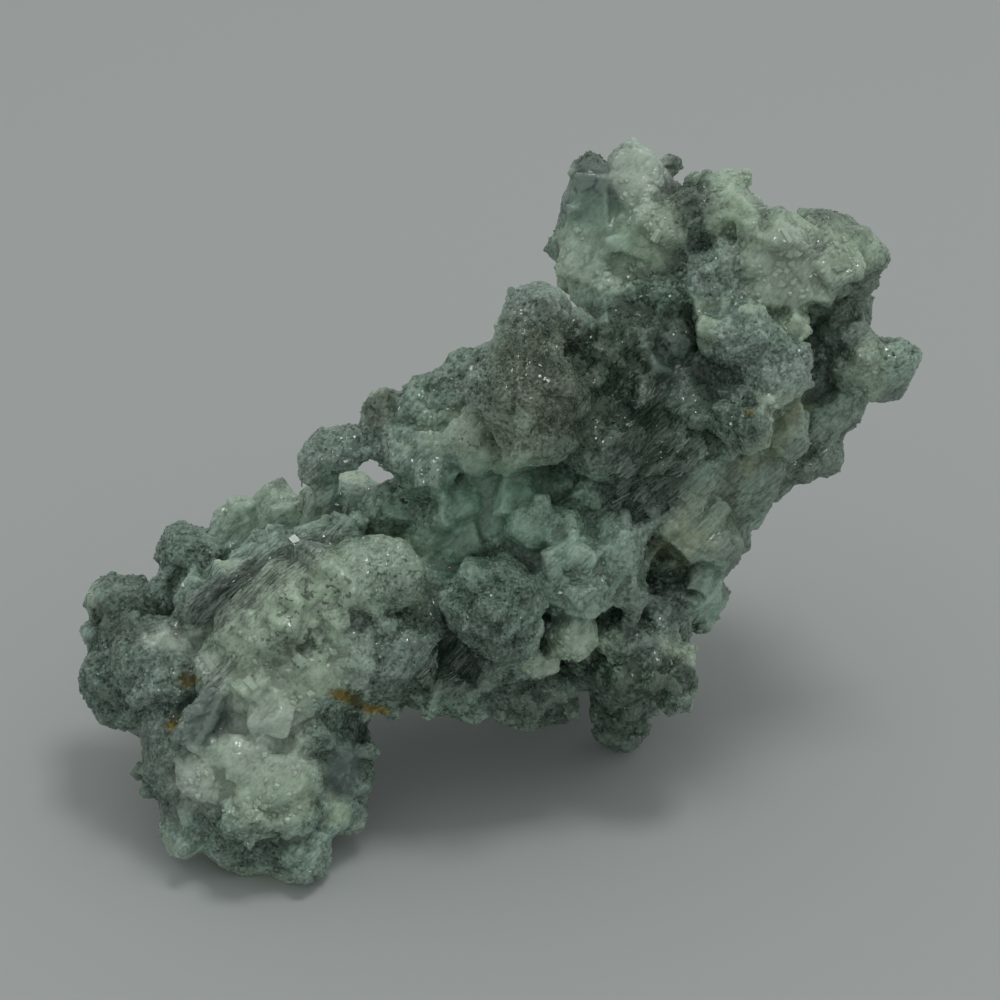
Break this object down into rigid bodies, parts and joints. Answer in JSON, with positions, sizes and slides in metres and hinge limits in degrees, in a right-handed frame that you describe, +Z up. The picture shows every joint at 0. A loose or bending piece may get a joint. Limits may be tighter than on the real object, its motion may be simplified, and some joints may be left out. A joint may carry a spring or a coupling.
{
  "type": "rough prehnite specimen",
  "caption": "Rough mass of intergrown pale green prehnite crystals with a sparkling grey-green crust, arched over its crystal feet and standing free.",
  "frame": {"origin": "middle of the stone's footprint box, on the ground that its feet stand on", "axes": "+Z up, +X along the stone's longest extent, to the right in the picture's view, -Y towards the viewer"},
  "size_m": [0.0854, 0.056, 0.0646],
  "materials": {
    "prehnite": "waxy to glassy, part translucent, with a sparkling drusy crust"
  },
  "bodies": {
    "root": {"prehnite_specimen": "prehnite"}
  },
  "joints": []
}
